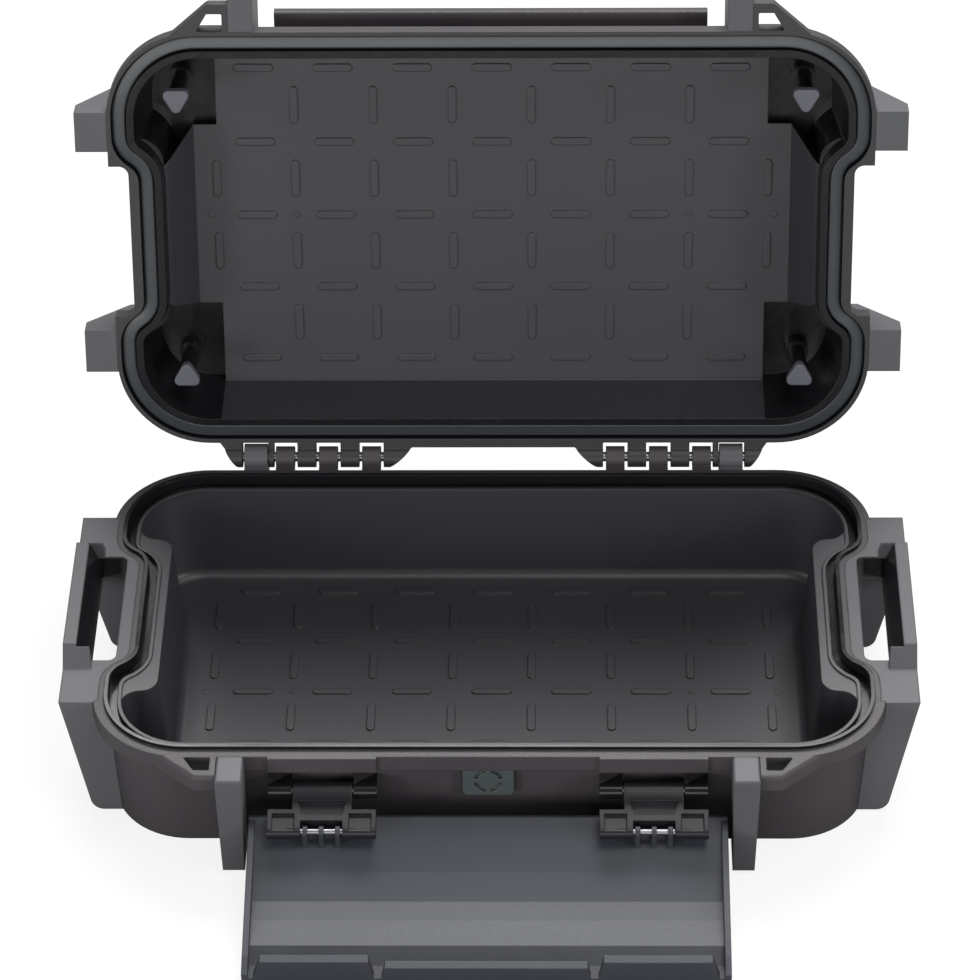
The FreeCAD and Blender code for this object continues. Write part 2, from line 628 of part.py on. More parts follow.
def knuckle_ends(number):
    start = row_start - number * (knuckle_long + hinge_gap)
    return start - knuckle_long, start


def hinge_arm(name, x0, x1, on_lid):
    # a knuckle on its arm, reaching from the rim flange to the hinge axis
    barrel = rod(name + "_barrel", knuckle, "X", x0, x1, hinge_y, hinge_z)
    near = rim_y - 1
    if on_lid:
        corners = [(near, lid_z), (hinge_y, lid_z), (hinge_y, hinge_z + knuckle),
                   (near + 2, rim_z + rim_thick), (near, rim_z + rim_thick)]
    else:
        corners = [(near, rim_z), (hinge_y, rim_z), (hinge_y, hinge_z - knuckle), (near, rim_low)]
    return [barrel, prism(name + "_arm", "X", corners, x0, x1)]


pin_hole = pin_radius + pin_fit
base_knuckles = []
for number in (0, 2, 4):
    inner, outer = knuckle_ends(number)
    base_knuckles += hinge_arm("base_knuckle_%d" % number, -outer, -inner, False)


# Latch ears, eyelets and handle cores on the base shell

def latch_ears(side):
    parts = []
    inner = link_neck / 2 + link_gap
    for end in (-1, 1):
        near = side * latch_x + end * inner
        far = side * latch_x + end * (inner + ear_long)
        x0, x1 = (near, far) if end > 0 else (far, near)
        name = "latch_ear_%d_%d" % (side + 1, end + 1)
        parts.append(rod(name, link_barrel, "X", x0, x1, -link_y, link_z))
        parts.append(box(name + "_arm", x0, x1, -link_y, 2 - seal_y, link_z - link_barrel + 0.4,
                         link_z + link_barrel))
    return parts


def eyelet(name, z0, z1):
    far, near = -guard_out - eye_long, -rim_y - eye_reach
    back = 6 - rim_y
    corners = [(far, 1.5 - rim_y), (-guard_out - eye_front, near), (-guard_out, near),
               (-guard_out, back), (far, back)]
    side = -guard_out - eye_wall
    hole_back = -rim_y - eye_back
    hole = [(side - eye_hole_long, hole_back), (side - eye_hole_front, hole_back - eye_hole_wide),
            (side, hole_back - eye_hole_wide), (side, hole_back)]
    wing = rounded(name + "_wing_rounded", prism(name + "_wing", "Z", corners, z0, z1), eye_round,
                   lambda e: runs_along(2)(e) and e.Vertexes[0].X < -float(guard_out) - 1
                   and e.Vertexes[0].Y < -float(rim_y) + 2)
    wing = rounded(name + "_wing_soft", wing, eye_soft,
                   lambda e: at_level(z1)(e) and min(v.X for v in e.Vertexes) < -float(guard_out) - 1
                   and min(v.Y for v in e.Vertexes) < -float(rim_y) + 2)
    opening = rounded(name + "_hole_rounded", prism(name + "_hole", "Z", hole, z0 - 1, z1 + 1),
                      eye_hole_round, runs_along(2))
    return cut(name, wing, [opening])


core_in = seal_waist - body_step - wall / 2
core_profile = [(-hole_out, core_z), (-core_x, core_z), (-core_x, rim_z + handle_z - core_cover),
                (-hole_out, core_low)]
core_end = hole_y + core_web
handle_core = [prism("handle_core_bar", "Y", core_profile, -hole_y - core_lap, hole_y + core_lap)]
for end in (-1, 1):
    y0, y1 = (hole_y, core_end) if end > 0 else (-core_end, -hole_y)
    handle_core.append(box("handle_web_%d" % (end + 1), -core_x, -core_in, y0, y1,
                           core_z, rim_z - 0.6))
handle_left = fuse("handle_left", handle_core)

base_eyelet = eyelet("base_eyelet", rim_low, rim_z)
link_lip = [box("link_lip_%d" % side, side * latch_x - link_wide / 2, side * latch_x + link_wide / 2,
                -rim_y - 1, 2 - rim_y, rim_low, rim_z) for side in (-1, 1)]
valve_hole = rod("valve_hole", valve_bore, "Y", -rim_y, -cavity_y + 6, 0, valve_z)
cover_seat = box("cover_seat", -valve_wide / 2 - 0.4, valve_wide / 2 + 0.4, -rim_y, -valve_seat,
                 valve_z - valve_tall / 2 - 0.4, valve_z + valve_tall / 2 + 0.4)
oring_seat = rod("oring_seat", oring_out, "Y", -valve_seat - 3, -valve_seat + oring_thick, 0, valve_z)
base_pins = rod("base_hinge_bore", pin_hole, "X", -rim_x, -wing_in, hinge_y, hinge_z)
ear_bore = rod("latch_ear_bore", link_pin + pin_fit, "X", -latch_x - link_wide / 2 - 1,
               -latch_x + link_wide / 2 + 1, -link_y, link_z)

base_solids = [base_wall, base_rim, base_ring, tongue, base_eyelet, handle_left]
base_solids += [mirror("base_eyelet_right", base_eyelet, (1, 0, 0))]
base_solids += [mirror("handle_right", handle_left, (1, 0, 0))]
base_solids += base_knuckles + [mirror(k.Name + "_right", k, (1, 0, 0)) for k in base_knuckles]
base_solids += link_lip + latch_ears(-1) + latch_ears(1)
base_full = fuse("base_full", base_solids)
base_cut = cut("base_cut", base_full,
               [mouth, channel, shelf, cavity, valve_hole, cover_seat, oring_seat, base_pins,
                mirror("base_hinge_bore_right", base_pins, (1, 0, 0)), ear_bore,
                mirror("latch_ear_bore_right", ear_bore, (1, 0, 0))])
base_shell = node("base_shell", fuse("base_shell", [
    base_cut, ribs("floor_ribs", floor_thick, 1, (0.5, 1.5))]))


# Lid shell, drawn closed

def above(amount):
    # a height above the parting plane
    return rim_z + amount


lid_outside = outer_wall("lid_wall", above(rim_thick), above(lid_top), body_step, lid_draft)
lid_recess = [box("lid_recess_across", -recess_x, recess_x, -rim_y, rim_y,
                  above(lid_top - recess_deep), above(lid_top) + 1),
              box("lid_recess_along", -rim_x, rim_x, -recess_y, recess_y,
                  above(lid_top - recess_deep), above(lid_top) + 1)]
lid_wall = cut("lid_wall_cut", lid_outside, lid_recess)
lid_notch = side_notches("lid_notch", notch_x, notch_y, lid_z - 1, above(rim_thick) + 1)
lid_notch = [rounded(n.Name + "_rounded", n, notch_round, runs_along(2)) for n in lid_notch]
lid_rim = cut("lid_rim_cut", rim_plate("lid_rim_plate", lid_z, above(rim_thick)), lid_notch)
groove_half = seal_wide / 2 + seal_play
groove = cut("groove", seal_solid("groove_outer", -groove_half, lid_z - 1, lid_z + seal_deep),
             [seal_solid("groove_inner", groove_half, lid_z - 2, lid_z + seal_deep + 1)])
lid_mouth = groove_half + ring_wide
lid_cavity = between("lid_cavity", seal_line("lid_cavity_mouth", lid_z, lid_mouth),
                     seal_line("lid_cavity_top", above(pocket_z), lid_mouth + lid_inner_draft))
wedge_root = wall / 4
ceiling = box("ceiling", -pocket_x, pocket_x, 6 - seal_y, seal_y - 6, above(plateau_z),
              above(pocket_z) + 0.2)
wall_foot = [(plateau_x - 10, above(plateau_z)), (plateau_x, above(plateau_z)),
             (side_foot_x, above(side_foot_z)), (side_lip_x, above(side_lip_z)),
             (seal_waist - lid_mouth + wedge_root, above(side_lip_z)),
             (seal_waist - lid_draft - wedge_root, above(pocket_z) + 0.2),
             (plateau_x - 10, above(pocket_z) + 0.2)]
side_wedge = prism("side_wedge_block", "Y", wall_foot, -pocket_y, pocket_y)
wedge_plan = [(0, -pocket_y), (plateau_x, -pocket_y), (seal_waist, -pocket_cut + 4),
              (seal_waist, pocket_cut - 4), (plateau_x, pocket_y), (0, pocket_y)]
side_wedge = common("side_wedge", side_wedge,
                    prism("side_wedge_plan", "Z", wedge_plan, lid_z, above(pocket_z) + 1))

ledge = box("ledge_block", side_lip_x, seal_x, -ledge_y, ledge_y, above(side_lip_z), above(pocket_z) + 0.2)
ledge = rounded("ledge_rounded", ledge, ledge_round,
                lambda e: runs_along(2)(e) and e.Vertexes[0].X < float(side_lip_x) + 0.1)
ledge = common("ledge", ledge, lid_outside)

lid_knuckles = []
for number in (1, 3):
    inner, outer = knuckle_ends(number)
    lid_knuckles += hinge_arm("lid_knuckle_%d" % number, -outer, -inner, True)
lid_knuckles += hinge_arm("lid_stub", -guard_in + part_gap, -row_start - 2 * part_gap, True)
root_y = rim_y - 2
tip_y = hinge_y + knuckle + 0.1
outer_plan = [(-wing_out, root_y), (-guard_out, root_y), (-guard_out, tip_y), (-guard_out - wing_tip, tip_y)]
inner_plan = [(-wing_start, root_y), (-wing_in, root_y), (-wing_in, rail_y), (-wing_start + wing_tip, tip_y),
              (-wing_start, tip_y)]
for name, x0, x1, plan in (("lid_wing_outer", -wing_out, -guard_out, outer_plan),
                           ("lid_wing_inner", -wing_start, -wing_in, inner_plan)):
    arm = fuse(name + "_full", hinge_arm(name, x0, x1, True))
    tapered = prism(name + "_plan", "Z", plan, rim_z - 5, rim_z + 15)
    lid_knuckles.append(common(name + "_tapered", arm, tapered))
rail = box("rear_rail", -wing_in, wing_in, rim_y - 1, rail_y, lid_z, above(rim_thick))
latch_bar = box("latch_bar", -bar_x, bar_x, -bar_y, 4 - seal_y, above(bar_low), above(bar_high))
latch_bar = rounded("latch_bar_rounded", latch_bar, 0.8, lambda e: runs_along(0)(e) and
                    max(v.Y for v in e.Vertexes) < -float(bar_y) + 0.01)
lid_eyelet = eyelet("lid_eyelet", lid_z, above(rim_thick))


def peg(name, y):
    seat = above(cap_z + cap_thick)
    top = above(pocket_z)
    foot = rod(name + "_boss", boss_radius, "Z", top - boss_tall, top + 0.2, -peg_x, y)
    shaft = rod(name + "_shaft", peg_radius, "Z", seat, top, -peg_x, y)
    end = rod(name + "_spigot", spigot, "Z", seat - spigot_long, top, -peg_x, y)
    return [foot, shaft, end]


pegs = peg("peg_front", -peg_y) + peg("peg_back", peg_y)
pin_far = -guard_out - pin_reach
pin_near = -wing_start + pin_grip
lid_bore = rod("lid_hinge_bore", pin_hole, "X", pin_far - pin_end, pin_near + pin_end, hinge_y, hinge_z)
lid_solids = [lid_wall, lid_rim, lid_eyelet, rail, latch_bar] + lid_knuckles
lid_solids += [mirror(k.Name + "_right", k, (1, 0, 0)) for k in [lid_eyelet] + lid_knuckles]
lid_full = fuse("lid_full", lid_solids)
lid_cut = cut("lid_cut", lid_full, [groove, lid_cavity, lid_bore,
                                    mirror("lid_hinge_bore_right", lid_bore, (1, 0, 0))])
lid_inside = [ceiling, side_wedge, ledge] + pegs
lid_inside += [mirror(k.Name + "_other", k, (1, 0, 0)) for k in [side_wedge, ledge] + pegs]
lid_inside.append(ribs("ceiling_ribs", above(plateau_z), -1, (0.5,)))
lid_shell = node("lid_shell", placed(fuse("lid_shell", [lid_cut] + lid_inside), lid_open))

gasket_face = lid_z + tongue_tall - part_gap + seal_squeeze
gasket = cut("gasket", seal_solid("gasket_outer", -seal_wide / 2, gasket_face, lid_z + seal_deep),
             [seal_solid("gasket_inner", seal_wide / 2, gasket_face - 1, lid_z + seal_deep + 1)])
node("lid_gasket", placed(gasket, lid_open))


# Peg caps: rounded triangles that point to the lid's middle line

def peg_cap(name, x, y, inward):
    low = above(cap_z)
    corners = []
    for third in range(3):
        angle = math.radians(90 * inward + 120 * third)
        corners.append((x + cap_side * math.cos(angle), y + cap_side * math.sin(angle)))
    block = prism(name + "_block", "Z", corners, low, low + cap_thick)
    block = rounded(name + "_rounded", block, cap_round, runs_along(2))
    high = low + cap_thick
    seat = rod(name + "_seat", spigot + pin_fit, "Z", high - spigot_long, high + 1, x, y)
    return placed(cut(name, block, [seat]), lid_open)


pair("peg_cap_front", peg_cap("peg_cap_front", -peg_x, -peg_y, 1))
pair("peg_cap_rear", peg_cap("peg_cap_rear", -peg_x, peg_y, -1))


# Base bumpers with the handle cover

block = frustum("bumper_block",
                (-bump_foot_x, -bump_in, -bump_y - bump_flare, bump_y + bump_flare),
                (-bump_x, -bump_in, -bump_y, bump_y), bump_foot_z, rim_z)
block = rounded("bumper_rounded", block, bump_round, lambda e: at_level(bump_foot_z)(e)
                and max(v.X for v in e.Vertexes) < -float(bump_foot_x) + 0.1)
cover = frustum("handle_cover_block",
                (-bump_x, -hole_out + 1, -handle_y, handle_y),
                (-bump_x, -hole_out + 0.6, -handle_y + handle_ramp, handle_y - handle_ramp),
                rim_z - 1, rim_z + handle_z)
finger_hole = box("finger_hole", -core_x, -hole_in, -hole_y, hole_y, -1, rim_z + handle_z + 1)
finger_hole = rounded("finger_hole_rounded", finger_hole, hole_round,
                      lambda e: runs_along(2)(e) and e.Vertexes[0].X > -float(hole_in) - 0.1)
window = box("handle_window", -bump_x - 2, -hole_in - 4, -hole_y, hole_y, -1, core_z)
tub_wall = outer_wall("tub_wall", -1, rim_low, body_step + foot_draft, body_step)
tub = fuse("tub", [tub_wall, base_rim, base_ring])
base_bumper = cut("base_bumper", fuse("base_bumper_block", [block, cover]),
                  [finger_hole, window, tub, handle_left,
                   seal_solid("bumper_mouth", 0, rim_low, rim_z + handle_z + 1)])
pair("base_bumper", base_bumper)


# Front and rear guards

guard = prism("base_front_guard_block", "X",
              [(-rim_y + 3, rim_z), (-guard_y, rim_z), (-guard_y, rim_low),
               (-guard_foot_y, guard_foot_z + foot_nose), (-guard_foot_y + foot_nose, guard_foot_z),
               (-seal_y + 4, guard_foot_z)], -guard_out, -guard_in)
taper = frustum("base_front_guard_taper",
                (-guard_out + guard_taper, -guard_in - guard_taper / 2, -guard_y - 1, -seal_y + 5),
                (-guard_out, -guard_in, -guard_y - 1, -seal_y + 5), 0, rim_z)
guard = rounded("base_front_guard_soft", common("base_front_guard_tapered", guard, taper), guard_soft,
                lambda e: at_level(rim_z)(e) and min(v.Y for v in e.Vertexes) < -float(guard_y) + 0.1)
pair("base_front_guard", cut("base_front_guard", guard, [tub, base_eyelet]))

back_guard = prism("base_rear_guard_block", "X",
                   [(rim_y - 3, rim_z), (hinge_y, rim_z), (rear_guard_y, hinge_z),
                    (rear_guard_y, rim_low - 6),
                    (rear_guard_y - 3, guard_foot_z + 3), (rear_guard_y - 6, guard_foot_z),
                    (seal_y - 4, guard_foot_z)], -guard_out + 0.6, -guard_in)
nose = rod("rear_guard_nose", rear_guard_round, "X", -guard_out + 0.6, -guard_in, hinge_y, hinge_z)
pair("base_rear_guard", cut("base_rear_guard", fuse("base_rear_guard_full", [back_guard, nose]),
                            [tub, base_pins]))


# Lid bumpers and guards, drawn closed

def lid_block(name, y0, y1, top_y0, top_y1):
    low = box(name + "_low", -block_x, -notch_x + 3, y0, y1, lid_z, above(block_low))
    high = frustum(name + "_high", (-block_x, -notch_x + 8, y0, y1),
                   (-block_top_x, -notch_x + 8, top_y0, top_y1), above(block_low), above(block_top))
    return [low, high]


lid_envelope = fuse("lid_envelope", [lid_wall, lid_rim, lid_eyelet])
bridge = box("lid_bridge", -bridge_x, -notch_x + 10, -block_front + 1, block_back - 1,
             above(rim_thick), above(block_top - 4))
blocks = lid_block("lid_block_front", -block_front, -block_in, -block_front + block_end,
                   -block_in - block_lean)
blocks += lid_block("lid_block_back", block_in, block_back, block_in + block_lean, block_back - block_end)
lid_bumper = cut("lid_bumper", fuse("lid_bumper_block", blocks + [bridge]), [lid_envelope, lid_cavity])
pair("lid_bumper", placed(lid_bumper, lid_open))
lid_guard = prism("lid_front_guard_block", "X",
                  [(-rim_y + 3, lid_z), (-guard_y, lid_z), (-guard_y, above(rim_thick)),
                   (-guard_foot_y + 3, above(lid_guard_z) - 2), (-guard_foot_y + 6, above(lid_guard_z)),
                   (-seal_y + 6, above(lid_guard_z))], -guard_out, -guard_in - 0.4)
lid_front_guard = cut("lid_front_guard", lid_guard, [lid_envelope, lid_cavity])
pair("lid_front_guard", placed(lid_front_guard, lid_open))


# Valve in the front wall

cover = box("valve_cover_block", -valve_wide / 2, valve_wide / 2, -valve_seat - valve_thick, -valve_seat,
            valve_z - valve_tall / 2, valve_z + valve_tall / 2)
cover = rounded("valve_cover_rounded", cover, valve_round, runs_along(1))
stub = rod("valve_stub", valve_bore - pin_fit, "Y", -valve_seat, -cavity_y + 0.6, 0, valve_z)
face_y = -valve_seat - valve_thick
gap_y = face_y + vent_deep
gaps = cut("vent_gaps", rod("vent_outer", vent_out, "Y", face_y - 1, gap_y, 0, valve_z),
           [rod("vent_inner", vent_in, "Y", face_y - 2, gap_y + 1, 0, valve_z),
            box("vent_bridge_x", -vent_out - 1, vent_out + 1, face_y - 2, gap_y + 1,
                valve_z - vent_bridge / 2, valve_z + vent_bridge / 2),
            box("vent_bridge_z", -vent_bridge / 2, vent_bridge / 2, face_y - 2, gap_y + 1,
                valve_z - vent_out - 1, valve_z + vent_out + 1)])
air_way = rod("valve_air_way", valve_bore - 1.2, "Y", -valve_seat + 0.6, -cavity_y + 1, 0, valve_z)
valve_cover = node("valve_cover", cut("valve_cover", fuse("valve_body", [cover, stub]), [gaps, air_way]))
membrane_y = -cavity_y + 0.6
valve_membrane = node("valve_membrane", rod("valve_membrane", valve_bore - 0.4, "Y", membrane_y,
                                            membrane_y + 0.6, 0, valve_z))
seal_ring = cut("valve_seal", rod("valve_seal_outer", oring_out - 0.1, "Y", -valve_seat,
                                  -valve_seat + oring_thick, 0, valve_z),
                [rod("valve_seal_inner", valve_bore, "Y", -valve_seat - 1, -valve_seat + 2, 0, valve_z)])
valve_seal = node("valve_seal", seal_ring)


# Pins

pair("hinge_pin", rod("hinge_pin", pin_radius, "X", pin_far, pin_near, hinge_y, hinge_z))
link_pin_long = link_neck / 2 + link_gap + ear_long - 0.4
link_pin_left = rod("link_pin", link_pin, "X", -latch_x - link_pin_long, -latch_x + link_pin_long,
                    -link_y, link_z)
pair("link_pin", link_pin_left)


# Latch link, drawn hanging down

panel_pin_z = link_z - link_long


def latch_link(name):
    x0, x1 = -latch_x - link_wide / 2, -latch_x + link_wide / 2
    half = link_thick / 2
    plate = box(name + "_plate", x0, x1, -link_y - half, -link_y + half, panel_pin_z, link_z - link_shoulder)
    end = rod(name + "_end", half, "X", x0, x1, -link_y, panel_pin_z)
    neck = box(name + "_neck", -latch_x - link_neck / 2, -latch_x + link_neck / 2, -link_y - half,
               -link_y + half, link_z - link_shoulder - 1, link_z)
    barrel = rod(name + "_barrel", link_barrel, "X", -latch_x - link_neck / 2, -latch_x + link_neck / 2,
                 -link_y, link_z)
    front = -link_y - half
    top, low = link_z - middle_top, link_z - middle_low
    middle = [(-latch_x - middle_wide / 2, top), (-latch_x + middle_wide / 2, top),
              (-latch_x + middle_narrow / 2, low), (-latch_x - middle_narrow / 2, low)]
    pockets = [prism(name + "_pocket", "Y", middle, front - 1, front + pocket_deep)]
    for end_side in (-1, 1):
        centre = -latch_x + end_side * (link_wide / 2 - side_edge - side_wide / 2)
        pockets.append(box(name + "_pocket_%d" % (end_side + 1), centre - side_wide / 2,
                           centre + side_wide / 2, front - 1, front + pocket_deep,
                           link_z - side_low, link_z - side_top))
    notch = box(name + "_notch", -latch_x - link_notch / 2, -latch_x + link_notch / 2, -link_y - half - 1,
                -link_y + half + 1, panel_pin_z - link_end - 1, panel_pin_z + link_notch_top)
    bores = [rod(name + "_pivot_bore", link_pin + pin_fit, "X", x0 - 1, x1 + 1, -link_y, link_z),
             rod(name + "_pin_bore", link_pin + pin_fit, "X", -latch_x - link_notch / 2 - 4,
                 -latch_x + link_notch / 2 + 4, -link_y, panel_pin_z)]
    return cut(name, fuse(name + "_body", [plate, end, neck, barrel]), pockets + [notch] + bores)


link_out = turn(-link_y, link_z, -link_swing)
pair("latch_link", placed(latch_link("latch_link"), link_out))
panel_pin_long = link_notch / 2 + 3.6
pair("panel_pin", rod("panel_pin", link_pin, "X", -latch_x - panel_pin_long, -latch_x + panel_pin_long,
                      -link_y - link_long * sine(link_swing), link_z - link_long * cosine(link_swing)))


# Latch panel, drawn shut against the front

bar_top = above(bar_high)
edge_low = bar_top + hook_gap
# reach and height of the panel's inner face from its foot up, then its outer face from the top down
edge_high = edge_low + edge_thick
inner_face = [(-71.5, 2.6), (-75.0, 19.0), (-75.8, 28.6), (-75.2, 35.4), (-73.2, 45.0), (-74.6, 50.8)]
outer_face = [(-76.4, edge_high), (-77.1, 50.4), (-75.8, 45.0), (-77.7, 35.8), (-78.2, 29.0),
              (-77.4, 18.6), (-73.8, 1.6), (-72.0, 1.6)]
panel_profile = inner_face + [(-74.6, edge_low), (-73.4, edge_low), (-73.4, edge_high)] + outer_face
skin = prism("panel_skin", "X", panel_profile, -panel_x, panel_x)
side_profile = outer_face[::-1] + [(-71.6, edge_high), (-71.0, 50.0), (-71.0, 35.0), (-71.3, 25.0),
                                   (-71.0, 16.0), (-71.0, 8.0)]
sides = [prism("panel_side_left", "X", side_profile, -panel_x, -panel_x + panel_side),
         prism("panel_side_right", "X", side_profile, panel_x - panel_side, panel_x)]
tabs = []
for side in (-1, 1):
    tab_plan = [(side * tab_out_root, -tab_root_y), (side * tab_out, -tab_y),
                (side * tab_in, -tab_y), (side * tab_in_root, -tab_root_y)]
    tabs.append(prism("panel_tab_%d" % (side + 1), "Z", tab_plan, edge_low, edge_high))
middle_plan = [(-mid_tab_root, -tab_root_y), (-mid_tab, -mid_tab_y), (mid_tab, -mid_tab_y),
               (mid_tab_root, -tab_root_y)]
tabs.append(prism("panel_tab_middle", "Z", middle_plan, edge_low, edge_high))
hooks = []
for side in (-1, 1):
    for place in (-1, 0, 1):
        x = side * latch_x + place * hook_step
        name = "panel_hook_%d_%d" % (side + 1, place + 1)
        hooks.append(rod(name + "_eye", hook_radius, "X", x - hook_wide / 2, x + hook_wide / 2,
                         -link_y, panel_pin_z))
        arm = [(-link_y, panel_pin_z - hook_radius), (-link_y, panel_pin_z + hook_radius),
               (-hook_root_y, panel_pin_z + hook_radius + hook_spread),
               (1 - hook_root_y, panel_pin_z - hook_radius - hook_spread)]
        hooks.append(prism(name + "_arm", "X", arm, x - hook_wide / 2, x + hook_wide / 2))
hook_bores = [rod("hook_bore_%d" % (side + 1), link_pin + pin_fit, "X", side * latch_x - link_notch / 2,
                  side * latch_x + link_notch / 2, -link_y, panel_pin_z) for side in (-1, 1)]
panel_out = link_out + " * " + turn(-link_y, panel_pin_z, panel_swing)
panel_full = fuse("panel_full", [skin] + sides + tabs + hooks)
latch_panel = node("latch_panel", placed(cut("latch_panel", panel_full, hook_bores), panel_out))


# Check every object, then write one file for each sub-part

doc.recompute()
for thing in doc.Objects:
    if "Invalid" in thing.State or "Error" in thing.State:
        raise RuntimeError("%s failed: %s" % (thing.Name, thing.State))
os.makedirs("parts", exist_ok=True)
for thing in nodes:
    if thing.Shape.isNull() or not thing.Shape.isValid():
        raise RuntimeError(thing.Label + " has no valid shape")
    print(thing.Label, len(thing.Shape.Solids), round(thing.Shape.Volume, 1))
    thing.Shape.exportStep(os.path.join("parts", thing.Label + ".step"))
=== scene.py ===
# Waterproof hard case, shown open: moulded tub and lid, soft grey bumpers and guards, a gasket and a
# wide latch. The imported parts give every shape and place; this file gives them their surfaces and adds
# the swept gasket and the small marks that the moulds leave.
import bpy
import bmesh
import json
import math
import numpy as np
from mathutils import Matrix, Vector


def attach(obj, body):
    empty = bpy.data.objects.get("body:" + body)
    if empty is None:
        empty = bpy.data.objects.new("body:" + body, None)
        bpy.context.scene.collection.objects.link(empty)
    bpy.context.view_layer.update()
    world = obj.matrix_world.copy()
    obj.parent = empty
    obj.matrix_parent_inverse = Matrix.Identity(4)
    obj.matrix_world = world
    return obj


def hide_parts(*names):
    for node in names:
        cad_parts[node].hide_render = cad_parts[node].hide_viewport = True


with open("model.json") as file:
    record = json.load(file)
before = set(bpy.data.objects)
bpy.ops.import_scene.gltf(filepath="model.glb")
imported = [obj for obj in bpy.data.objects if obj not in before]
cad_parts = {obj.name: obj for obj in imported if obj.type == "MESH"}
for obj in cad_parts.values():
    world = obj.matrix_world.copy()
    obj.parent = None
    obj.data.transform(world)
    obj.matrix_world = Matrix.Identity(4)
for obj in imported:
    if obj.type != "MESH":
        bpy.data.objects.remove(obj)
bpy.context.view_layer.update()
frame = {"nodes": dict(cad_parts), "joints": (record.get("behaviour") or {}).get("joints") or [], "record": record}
nodes = frame["nodes"]
print("frame loaded:", len(nodes), "parts")

mm = 0.001
lidHinge = next(j for j in frame["joints"] if j["name"] == "lid_hinge")
hinge = Vector(lidHinge["pos_m"])
openTurn = math.radians(lidHinge["range_deg"][1])
toOpen = Matrix.Translation(hinge) @ Matrix.Rotation(-openTurn, 4, "X") @ Matrix.Translation(-hinge)
toShut = toOpen.inverted()


# Colours, nodes and small mesh helpers

def srgb(code):  # hex as seen on screen, turned to linear
    parts = [int(code[i:i + 2], 16) / 255 for i in (1, 3, 5)]
    return tuple(p / 12.92 if p <= 0.04045 else ((p + 0.055) / 1.055) ** 2.4 for p in parts) + (1.0,)


def addNode(tree, kind, settings=None, links=None):
    node = tree.nodes.new(kind)
    for key, value in (settings or {}).items():
        if isinstance(key, int) or key in node.inputs:
            node.inputs[key].default_value = value
        else:
            setattr(node, key, value)
    for key, socket in (links or {}).items():
        tree.links.new(socket, node.inputs[key])
    return node


def newMaterial(name):
    material = bpy.data.materials.new(name)
    material.use_nodes = True
    material.node_tree.nodes.clear()
    return material, material.node_tree


def finishPiece(piece, body, replaced=()):
    for name in replaced:
        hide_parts(name)
    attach(piece, body)


def bodyOf(name):
    return next(b for b, names in frame["record"]["behaviour"]["bodies"].items() if name in names)


# Materials

noiseLow, noiseHigh = 0.3, 0.7  # most of a noise texture's values lie between these


def polishFrom(tree, look, noise):
    # roughness that follows the same noise as the relief
    return addNode(tree, "ShaderNodeMapRange",
                   {"From Min": noiseLow, "From Max": noiseHigh, "To Min": look["roughness"][0],
                    "To Max": look["roughness"][1]}, {"Value": noise.outputs["Fac"]})


def mouldedSurface(look):
    # A moulded plastic or rubber: two close shades that drift slowly, a grain pressed in by the mould,
    # and edges rounded as the tool leaves them.
    material, tree = newMaterial(look["name"])
    place = addNode(tree, "ShaderNodeTexCoord").outputs["Object"]
    drift = addNode(tree, "ShaderNodeTexNoise",
                    {"Scale": 1 / (look["drift"] * mm), "Detail": 3.0, "Roughness": 0.55}, {"Vector": place})
    shade = addNode(tree, "ShaderNodeMix",
                    {"data_type": "RGBA", 6: srgb(look["dark"]), 7: srgb(look["light"])},
                    {0: drift.outputs["Fac"]})
    grain = addNode(tree, "ShaderNodeTexNoise",
                    {"Scale": 1 / (look["grain"] * mm), "Detail": 2.0, "Roughness": 0.6}, {"Vector": place})
    polish = polishFrom(tree, look, grain)
    edges = addNode(tree, "ShaderNodeBevel", {"samples": 6, "Radius": look["edge"] * mm})
    relief = addNode(tree, "ShaderNodeBump", {"Strength": look["relief"], "Distance": look["depth"] * mm},
                     {"Height": grain.outputs["Fac"], "Normal": edges.outputs["Normal"]})
    shader = addNode(tree, "ShaderNodeBsdfPrincipled",
                     {"IOR": look["ior"], "Specular IOR Level": look.get("shine", 0.5),
                      "Sheen Weight": look.get("sheen", 0.0), "Sheen Roughness": 0.5},
                     {"Base Color": shade.outputs[2], "Roughness": polish.outputs["Result"],
                      "Normal": relief.outputs["Normal"]})
    addNode(tree, "ShaderNodeOutputMaterial", {}, {"Surface": shader.outputs["BSDF"]})
    return material


def drawnSteel(look):
    # Stainless wire, drawn through a die: fine lines along the pin, bright with a soft spread.
    material, tree = newMaterial(look["name"])
    place = addNode(tree, "ShaderNodeTexCoord").outputs["Object"]
    along = addNode(tree, "ShaderNodeMapping", {"Scale": (look["stretch"], 1, 1)}, {"Vector": place})
    lines = addNode(tree, "ShaderNodeTexNoise", {"Scale": 1 / (look["line"] * mm), "Detail": 1.0},
                    {"Vector": along.outputs["Vector"]})
    polish = polishFrom(tree, look, lines)
    relief = addNode(tree, "ShaderNodeBump", {"Strength": look["relief"], "Distance": look["depth"] * mm},
                     {"Height": lines.outputs["Fac"]})
    shader = addNode(tree, "ShaderNodeBsdfPrincipled", {"Metallic": 1.0, "Base Color": srgb(look["color"])},
                     {"Roughness": polish.outputs["Result"], "Normal": relief.outputs["Normal"]})
    addNode(tree, "ShaderNodeOutputMaterial", {}, {"Surface": shader.outputs["BSDF"]})
    return material


